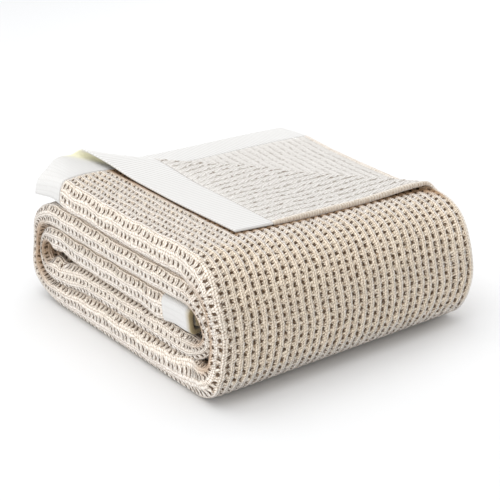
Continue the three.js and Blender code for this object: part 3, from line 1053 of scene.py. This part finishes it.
# The yarns. Strengths in pairs are those on level and upright cloth, or off the wide fold and on it.
RIB_YARN = Yarn(4.0)
BAR_YARN = Yarn(3.0, 1.5)
BEAD_YARN = Yarn(1.5, 2.8)
HEM_YARN = Yarn(1.5, 2.0)
PLAIN_YARN = Yarn(3.0, 0.8)
BAR_MOTTLE = Specks(4.4, (0.38, 0.56), 0.9)
RIB_FLECKS = Specks(6.0, (0.36, 0.49), 0.62)
REVERSE_SPECKS = Specks(5.0, (0.36, 0.52), 0.42)
HEM_SPECKS = Specks(6.0, (0.36, 0.50), 0.45)
SPECK_DETAIL = 3.0
STRAND_WAVER = Waver(1.2, 2.0, 0.9)
PIT_WAVER = Waver(4.2, 3.0, 0.60)
GROOVE_WAVER = Waver(2.4, 4.0, 0.9)
WAFFLE_NAP = Nap(1.0, 0.08)
REVERSE_NAP = Nap(0.8, 0.18)
HEM_NAP = Nap(0.5, 0.2)
BAND_NAP = Nap(0.35, 0.15)
FUZZ_SCALE = 16.0
FUZZ_DETAIL = 4.0
FUZZ_HEIGHT = 0.7
STRAND_EDGE = (0.1, 0.6)
# The slant over which the painted sheen grows
SHEEN_BLEND = 0.5
PAINTED_SHEEN_SPAN = (0.27, 0.58)
CELL_MIDDLE = 0.5
RIB_EDGE = (0.19, 0.28)
PIT_EDGE = (0.11, 0.23)
PIT_SQUARENESS = 3.0
# How strongly the painted pit shade shows on level and on upright cloth
PIT_SHADE = (0.97, 0.94)
BAR_LINES = 0.60
BAR_SHADE = (0.55, 0.9)
BEAD_LINES = (0.36, 0.52)
STRAND_LINES = (0.36, 0.28)
REVERSE_EDGE = (0.01, 0.20)
REVERSE_DRAWN = 0.48
REVERSE_LINES = 0.10
GAP_SCALE = 3.4
GAP_SPAN = (0.34, 0.58)
GAP_STRENGTH = (0.05, 1.0)
HEM_LINES = 0.30
RIM_SHADE_SPAN = (0.30, 0.56)
RIM_SHADE = (0.0, 0.26)
BAND_GROOVE_EDGE = (0.05, 0.22)
BAND_GROOVE_LINES = 0.6
BAND_LINES = 0.08
GLOW_STRENGTH = 0.22
BUMP_DISTANCE = 0.0012
YARN_ROUGHNESS = 0.92
YARN_SPECULAR = 0.15
SHEEN_ROUGHNESS = 0.55
FADING = (1.0, 0.0)
BLACK = (0.0, 0.0, 0.0)
WHITE = (1.0, 1.0, 1.0)
YARN_GROUP = "Throw Yarn"

# Sockets of the Mix node by number, because their names repeat: the factor and what is mixed
MIXED_VALUES = (0, 2, 3)
MIXED_COLOURS = (0, 6, 7)
COLOUR_RESULT = 2


def opaque(colour):
    """A property's colour as a socket takes it. A socket stays as it is."""
    return colour if isinstance(colour, bpy.types.NodeSocket) else (*colour, 1.0)


class Shading:
    """The nodes of a material, a group or a world, with a short call for each kind that is used."""

    def __init__(self, tree):
        self.tree = tree

    def fill(self, node, inputs):
        """Gives a node its inputs, as values or as sockets to link from."""
        for key, value in inputs.items():
            if isinstance(value, bpy.types.NodeSocket):
                self.tree.links.new(value, node.inputs[key])
            else:
                node.inputs[key].default_value = value

    def add(self, kind, inputs, **settings):
        """A new node with its settings and inputs."""
        node = self.tree.nodes.new(kind)
        for name, value in settings.items():
            setattr(node, name, value)
        self.fill(node, inputs)
        return node

    def maths(self, operation, *values):
        """The result of a Math node."""
        return self.add("ShaderNodeMath", dict(enumerate(values)), operation=operation).outputs[0]

    def ramp(self, value, span, results=(0.0, 1.0)):
        """A value carried smoothly from a span to the results at its two ends."""
        ends = dict(zip(("From Min", "From Max", "To Min", "To Max"), (*span, *results)))
        node = self.add("ShaderNodeMapRange", {"Value": value, **ends}, interpolation_type="SMOOTHSTEP")
        return node.outputs["Result"]

    def mix(self, factor, first, second):
        """Two values mixed by a factor."""
        inputs = dict(zip(MIXED_VALUES, (factor, first, second)))
        return self.add("ShaderNodeMix", inputs).outputs[0]

    def mix_colour(self, factor, first, second):
        """Two colours mixed by a factor."""
        inputs = dict(zip(MIXED_COLOURS, (factor, opaque(first), opaque(second))))
        return self.add("ShaderNodeMix", inputs, data_type="RGBA").outputs[COLOUR_RESULT]

    def noise(self, vector, scale, detail):
        """Values of a noise texture, from 0 to 1."""
        inputs = {"Vector": vector, "Scale": scale, "Detail": detail}
        return self.add("ShaderNodeTexNoise", inputs).outputs["Fac"]

    def attribute(self, name):
        """A value carried by the mesh's points."""
        return self.add("ShaderNodeAttribute", {}, attribute_name=name).outputs["Fac"]

    def axes(self, vector):
        """The two axes of the cloth's map: across the cloth and along it."""
        split = self.add("ShaderNodeSeparateXYZ", {"Vector": vector})
        return split.outputs["X"], split.outputs["Y"]

    def join(self, across, along):
        """A vector from its two axes."""
        return self.add("ShaderNodeCombineXYZ", {"X": across, "Y": along}).outputs["Vector"]

    def from_middle(self, value):
        """Distance of a place from the middle of its cell."""
        share = self.maths("FRACT", value)
        return self.maths("ABSOLUTE", self.maths("SUBTRACT", share, CELL_MIDDLE))

    def waver(self, vector, kind):
        """Noise that goes as far below nothing as above it."""
        noise = self.noise(vector, kind.scale, kind.detail)
        return self.maths("MULTIPLY_ADD", noise, kind.spread, -kind.spread / 2)

    def specks(self, vector, kind):
        """The strength of dark specks over the surface."""
        noise = self.noise(vector, kind.scale, SPECK_DETAIL)
        return self.ramp(noise, kind.span, (kind.strength, 0.0))

    def yarn(self, vector, kind):
        """The yarn group in a material: the height of its strands, and the lines between them."""
        inputs = {"Cloth": vector, "Strands": kind.strands, "Slant": kind.slant}
        node = self.add("ShaderNodeGroup", inputs, node_tree=yarn_group())
        return node.outputs["Height"], node.outputs["Lines"]

    def painted_sheen_share(self):
        """How far the surface is seen at a slant, where a paler colour is painted on as sheen."""
        facing = self.add("ShaderNodeLayerWeight", {"Blend": SHEEN_BLEND}).outputs["Facing"]
        return self.ramp(facing, PAINTED_SHEEN_SPAN)

    def by_slope(self, strengths):
        """A strength that goes from level cloth to upright cloth with the pits' length."""
        return self.ramp(self.attribute("pit_length"), (LEVEL_PIT, UPRIGHT_PIT), strengths)

    def by_fold(self, strengths):
        """A strength that goes to its second value on the wide fold."""
        return self.ramp(self.attribute("pale"), (0.0, PAINTED_FOLD_LIGHT), strengths)


def yarn_group():
    """Strands side by side, wavering and fuzzy: their height, and the dark lines between them."""
    if YARN_GROUP in bpy.data.node_groups:
        return bpy.data.node_groups[YARN_GROUP]
    group = bpy.data.node_groups.new(YARN_GROUP, "ShaderNodeTree")
    group.interface.new_socket("Cloth", in_out="INPUT", socket_type="NodeSocketVector")
    for name, way in (("Strands", "INPUT"), ("Slant", "INPUT"), ("Height", "OUTPUT"), ("Lines", "OUTPUT")):
        group.interface.new_socket(name, in_out=way, socket_type="NodeSocketFloat")
    shading = Shading(group)
    given = shading.add("NodeGroupInput", {}).outputs
    cloth = given["Cloth"]
    across, along = shading.axes(cloth)
    strands = shading.maths("MULTIPLY", across, given["Strands"])
    slanted = shading.maths("MULTIPLY_ADD", along, given["Slant"], strands)
    phase = shading.maths("ADD", slanted, shading.waver(cloth, STRAND_WAVER))
    strand = shading.maths("ABSOLUTE", shading.maths("SINE", shading.maths("MULTIPLY", phase, math.pi)))
    fuzz = shading.noise(cloth, FUZZ_SCALE, FUZZ_DETAIL)
    height = shading.maths("MULTIPLY_ADD", fuzz, FUZZ_HEIGHT, strand)
    lines = shading.ramp(strand, STRAND_EDGE, FADING)
    shading.add("NodeGroupOutput", {"Height": height, "Lines": lines})
    return group


def start_fabric(name):
    """A new material with its shading and the cloth's own map."""
    material = bpy.data.materials.new(name)
    material.use_nodes = True
    shading = Shading(material.node_tree)
    cloth = shading.add("ShaderNodeUVMap", {}, uv_map=CLOTH_MAP).outputs["UV"]
    return material, shading, cloth


def finish_fabric(shading, colour, height, nap):
    """Colour, relief and the soft sheen of a pile yarn on the material's shader."""
    shader = shading.tree.nodes["Principled BSDF"]
    relief = {"Height": height, "Strength": nap.bump, "Distance": BUMP_DISTANCE}
    inputs = {
        "Base Color": colour,
        "Normal": shading.add("ShaderNodeBump", relief).outputs["Normal"],
        "Roughness": YARN_ROUGHNESS,
        "Specular IOR Level": YARN_SPECULAR,
        "Sheen Weight": nap.sheen,
        "Sheen Roughness": SHEEN_ROUGHNESS,
    }
    shading.fill(shader, inputs)
    return shader


def pit_shade_mask(shading, cloth):
    """Where painted shade darkens the pits: squarish and ragged in the middle of the cells."""
    powers = []
    for axis, name in zip(shading.axes(cloth), ("pit_width", "pit_length")):
        distance = shading.maths("MULTIPLY", shading.from_middle(axis), PIT_WIDTH)
        share = shading.maths("DIVIDE", distance, shading.attribute(name))
        powers.append(shading.maths("POWER", share, PIT_SQUARENESS))
    squarish = shading.maths("POWER", shading.maths("ADD", *powers), 1 / PIT_SQUARENESS)
    ragged = shading.maths("ADD", squarish, shading.waver(cloth, PIT_WAVER))
    shape = shading.ramp(ragged, PIT_EDGE, FADING)
    return shading.maths("MULTIPLY", shape, shading.by_slope(PIT_SHADE))


def waffle_material(colours):
    """Beige waffle: soft ribs of four strands, mottled bars across, and pits between them, with painted shade
    in the pits, the bars and the creases, and a painted sheen.
    """
    material, shading, cloth = start_fabric("throw_waffle")
    across, along = shading.axes(cloth)
    on_rib = shading.ramp(shading.from_middle(across), RIB_EDGE)
    rib_height, rib_lines = shading.yarn(cloth, RIB_YARN)
    bar_height, bar_lines = shading.yarn(shading.join(along, across), BAR_YARN)
    _, bead_lines = shading.yarn(cloth, BEAD_YARN)
    # The bars' yarn lines and mottle, painted darker on upright cloth as shade in their recess
    bars = shading.maths("MULTIPLY_ADD", bar_lines, BAR_LINES, shading.specks(cloth, BAR_MOTTLE))
    bars = shading.maths("MULTIPLY", bars, shading.by_slope(BAR_SHADE))
    ribs = shading.specks(cloth, RIB_FLECKS)
    ribs = shading.maths("MULTIPLY_ADD", bead_lines, shading.by_fold(BEAD_LINES), ribs)
    ribs = shading.maths("MULTIPLY_ADD", rib_lines, shading.by_fold(STRAND_LINES), ribs)
    # Painted sheen and painted light: paler yarn at a slant and on the wide fold
    painted_light_share = shading.maths("MAXIMUM", shading.painted_sheen_share(), shading.attribute("pale"))
    colour = shading.mix_colour(painted_light_share, colours.cloth, colours.slanted)
    colour = shading.mix_colour(shading.mix(on_rib, bars, ribs), colour, colours.crevice)
    colour = shading.mix_colour(shading.attribute("shade"), colour, colours.crease)
    colour = shading.mix_colour(pit_shade_mask(shading, cloth), colour, colours.pit)
    finish_fabric(shading, colour, shading.mix(on_rib, bar_height, rib_height), WAFFLE_NAP)
    return material


def reverse_material(colours):
    """The reverse of the waffle: rope-like ribs along the cloth with thin broken lines between them."""
    material, shading, cloth = start_fabric("throw_reverse")
    across, along = shading.axes(cloth)
    strokes = shading.join(across, shading.maths("MULTIPLY", along, REVERSE_DRAWN))
    from_rib = shading.maths("ADD", across, CELL_MIDDLE)
    wobbling = shading.maths("ADD", from_rib, shading.waver(strokes, GROOVE_WAVER))
    groove = shading.ramp(shading.from_middle(wobbling), REVERSE_EDGE, FADING)
    broken = shading.ramp(shading.noise(strokes, GAP_SCALE, SPECK_DETAIL), GAP_SPAN, GAP_STRENGTH)
    height, lines = shading.yarn(cloth, PLAIN_YARN)
    twist = shading.maths("MULTIPLY_ADD", lines, REVERSE_LINES, shading.specks(cloth, REVERSE_SPECKS))
    marked = shading.maths("MULTIPLY_ADD", groove, broken, twist)
    shade = shading.maths("MULTIPLY", marked, shading.attribute("shade"))
    colour = shading.mix_colour(shade, colours.reverse, colours.groove)
    finish_fabric(shading, colour, height, REVERSE_NAP)
    return material


def hem_material(colours):
    """The rolled hem: fuzzy yarn wound slantwise round the edge, with painted shade towards its rim and a
    greyer painted sheen where it is seen at a slant.
    """
    material, shading, cloth = start_fabric("throw_hem")
    across, _ = shading.axes(cloth)
    height, lines = shading.yarn(cloth, HEM_YARN)
    # Painted shade, growing towards the hem's rim and underside
    rim = shading.ramp(shading.maths("FRACT", across), RIM_SHADE_SPAN, RIM_SHADE)
    specks = shading.maths("ADD", shading.specks(cloth, HEM_SPECKS), rim)
    shade = shading.maths("MULTIPLY_ADD", lines, HEM_LINES, specks)
    # Painted sheen: the reverse's greyer colour where the hem is seen at a slant
    colour = shading.mix_colour(shading.painted_sheen_share(), colours.hem, colours.reverse)
    colour = shading.mix_colour(shade, colour, colours.crevice)
    finish_fabric(shading, colour, height, HEM_NAP)
    return material


def band_material(name, yarn_colour, contrast, colours):
    """White band yarn with thin lines between its ribs, with a painted glow in its folds and painted shade at
    the inner end.
    """
    if name in bpy.data.materials:
        return bpy.data.materials[name]
    material, shading, cloth = start_fabric(name)
    across, _ = shading.axes(cloth)
    groove = shading.ramp(shading.from_middle(across), BAND_GROOVE_EDGE, FADING)
    height, lines = shading.yarn(cloth, PLAIN_YARN)
    lines = shading.maths("MULTIPLY", lines, BAND_LINES)
    shade = shading.maths("MULTIPLY_ADD", groove, BAND_GROOVE_LINES * contrast, lines)
    glow = shading.attribute("glow")
    colour = shading.mix_colour(shade, yarn_colour, colours.band_line)
    colour = shading.mix_colour(glow, colour, colours.glow)
    colour = shading.mix_colour(shading.attribute("shade"), colour, colours.band_end_shade)
    shader = finish_fabric(shading, colour, height, BAND_NAP)
    # Painted glow: emission in the band's folds, where there is no lamp
    lit = shading.mix_colour(glow, BLACK, colours.glow)
    shading.fill(shader, {"Emission Color": lit, "Emission Strength": GLOW_STRENGTH})
    return material


class SoftLight(NamedTuple):
    """An area light: its size, its place and the point that it looks at."""

    name: str
    width: float
    height: float
    place: tuple
    aim: tuple


# The stage. The camera's place comes from the photograph's view of the bundle.
FLOOR_SIZE = 12.0
FLOOR_ROUGHNESS = 0.9
FLOOR_SPECULAR = 0.1
SOFT_LIGHTS = (
    SoftLight("overhead_light", 2.2, 2.2, (-0.3, 0.18, 2.1), (0.0, 0.0, 0.0)),
    SoftLight("left_light", 2.0, 0.4, (-1.9, 0.0, 0.26), (0.0, 0.0, 0.08)),
    SoftLight("right_light", 1.2, 0.24, (1.2, 0.2, 0.15), (0.36, -0.06, 0.05)),
)
CAMERA_AZIMUTH = math.radians(-38.06)
CAMERA_ELEVATION = math.radians(25.16)
CAMERA_DISTANCE = 1.802
CAMERA_LENS = 122.4
CAMERA_SENSOR = 36.0
CAMERA_TARGET = Vector((0.16231 - MIDDLE_X, 0.16999 - MIDDLE_Y, 0.07516))
CAMERA_AIM_RIGHT = 0.0066
CAMERA_AIM_UP = -0.0100


def build_floor(look):
    """A wide pale floor."""
    bpy.ops.mesh.primitive_plane_add(size=FLOOR_SIZE, location=(0.0, 0.0, 0.0))
    floor = bpy.context.object
    floor.name = "floor"
    material = bpy.data.materials.new("studio_floor")
    material.use_nodes = True
    inputs = {
        "Base Color": opaque(look.floor),
        "Roughness": FLOOR_ROUGHNESS,
        "Specular IOR Level": FLOOR_SPECULAR,
    }
    Shading(material.node_tree).fill(material.node_tree.nodes["Principled BSDF"], inputs)
    floor.data.materials.append(material)


def add_soft_light(kind, power):
    """An area light that looks at a point."""
    data = bpy.data.lights.new(kind.name, "AREA")
    data.energy = power
    data.shape = "RECTANGLE"
    data.size = kind.width
    data.size_y = kind.height
    light = bpy.data.objects.new(kind.name, data)
    light.location = kind.place
    light.rotation_euler = (Vector(kind.aim) - Vector(kind.place)).to_track_quat("-Z", "Y").to_euler()
    bpy.context.scene.collection.objects.link(light)


def build_lights(look):
    """Even light all round, a soft light overhead, and low ones on the left and on the right."""
    world = bpy.data.worlds.new("studio_light")
    world.use_nodes = True
    inputs = {"Color": opaque(WHITE), "Strength": look.ambient}
    Shading(world.node_tree).fill(world.node_tree.nodes["Background"], inputs)
    bpy.context.scene.world = world
    for kind, power in zip(SOFT_LIGHTS, (look.key, look.side, look.fill)):
        add_soft_light(kind, power)


def build_camera():
    """A long-lens camera at the photograph's angle."""
    data = bpy.data.cameras.new("camera")
    data.lens = CAMERA_LENS
    data.sensor_width = CAMERA_SENSOR
    camera = bpy.data.objects.new("camera", data)
    level = math.cos(CAMERA_ELEVATION)
    back_x = math.sin(CAMERA_AZIMUTH) * level
    back_y = -math.cos(CAMERA_AZIMUTH) * level
    back = Vector((back_x, back_y, math.sin(CAMERA_ELEVATION)))
    right = Vector((0.0, 0.0, 1.0)).cross(back).normalized()
    up = back.cross(right)
    shift = right * CAMERA_AIM_RIGHT + up * CAMERA_AIM_UP
    camera.location = CAMERA_TARGET + shift + back * CAMERA_DISTANCE
    camera.rotation_euler = (-back).to_track_quat("-Z", "Y").to_euler()
    bpy.context.scene.collection.objects.link(camera)
    bpy.context.scene.camera = camera


class THROW_OT_waffle_cloth(bpy.types.Operator):
    """Build the folded waffle cloth with its hems"""

    bl_idname = "throw.waffle_cloth"
    bl_label = "Waffle Cloth"

    def execute(self, context):
        build_waffle_cloth()
        return {"FINISHED"}


class THROW_OT_end_bands(bpy.types.Operator):
    """Build the white ribbed band at each end of the cloth"""

    bl_idname = "throw.end_bands"
    bl_label = "End Bands"

    def execute(self, context):
        sizes = context.scene.throw_sizes
        build_end_band("inner_band", "end_band_inner", 0.0)
        outer_start = sizes.length - sizes.band_width + SEAM_GAP / 2
        build_end_band("outer_band", "end_band_outer", outer_start)
        return {"FINISHED"}


class THROW_OT_studio(bpy.types.Operator):
    """Build the floor, the lights and the camera"""

    bl_idname = "throw.studio"
    bl_label = "Studio"

    def execute(self, context):
        look = context.scene.throw_studio
        context.scene.view_settings.view_transform = "Standard"
        build_floor(look)
        build_lights(look)
        build_camera()
        return {"FINISHED"}


class THROW_PT_sidebar(bpy.types.Panel):
    """Sizes, colours and build steps of the throw"""

    bl_idname = "THROW_PT_sidebar"
    bl_label = "Folded Waffle Throw"
    bl_space_type = "VIEW_3D"
    bl_region_type = "UI"
    bl_category = "Throw"

    def draw(self, context):
        scene = context.scene
        for settings in (scene.throw_sizes, scene.throw_colours, scene.throw_studio):
            box = self.layout.box()
            for name in settings.__annotations__:
                box.prop(settings, name)
        for operator in (THROW_OT_waffle_cloth, THROW_OT_end_bands, THROW_OT_studio):
            self.layout.operator(operator.bl_idname)


CLASSES = (
    ThrowSizes,
    ThrowColours,
    StudioLook,
    THROW_OT_waffle_cloth,
    THROW_OT_end_bands,
    THROW_OT_studio,
    THROW_PT_sidebar,
)


def register():
    for each in CLASSES:
        bpy.utils.register_class(each)
    bpy.types.Scene.throw_sizes = PointerProperty(type=ThrowSizes)
    bpy.types.Scene.throw_colours = PointerProperty(type=ThrowColours)
    bpy.types.Scene.throw_studio = PointerProperty(type=StudioLook)


def unregister():
    del bpy.types.Scene.throw_studio
    del bpy.types.Scene.throw_colours
    del bpy.types.Scene.throw_sizes
    for each in reversed(CLASSES):
        bpy.utils.unregister_class(each)


def main():
    register()
    bpy.ops.object.select_all(action="DESELECT")
    bpy.ops.throw.studio()
    bpy.ops.throw.waffle_cloth()
    bpy.ops.throw.end_bands()


if __name__ == "__main__":
    main()
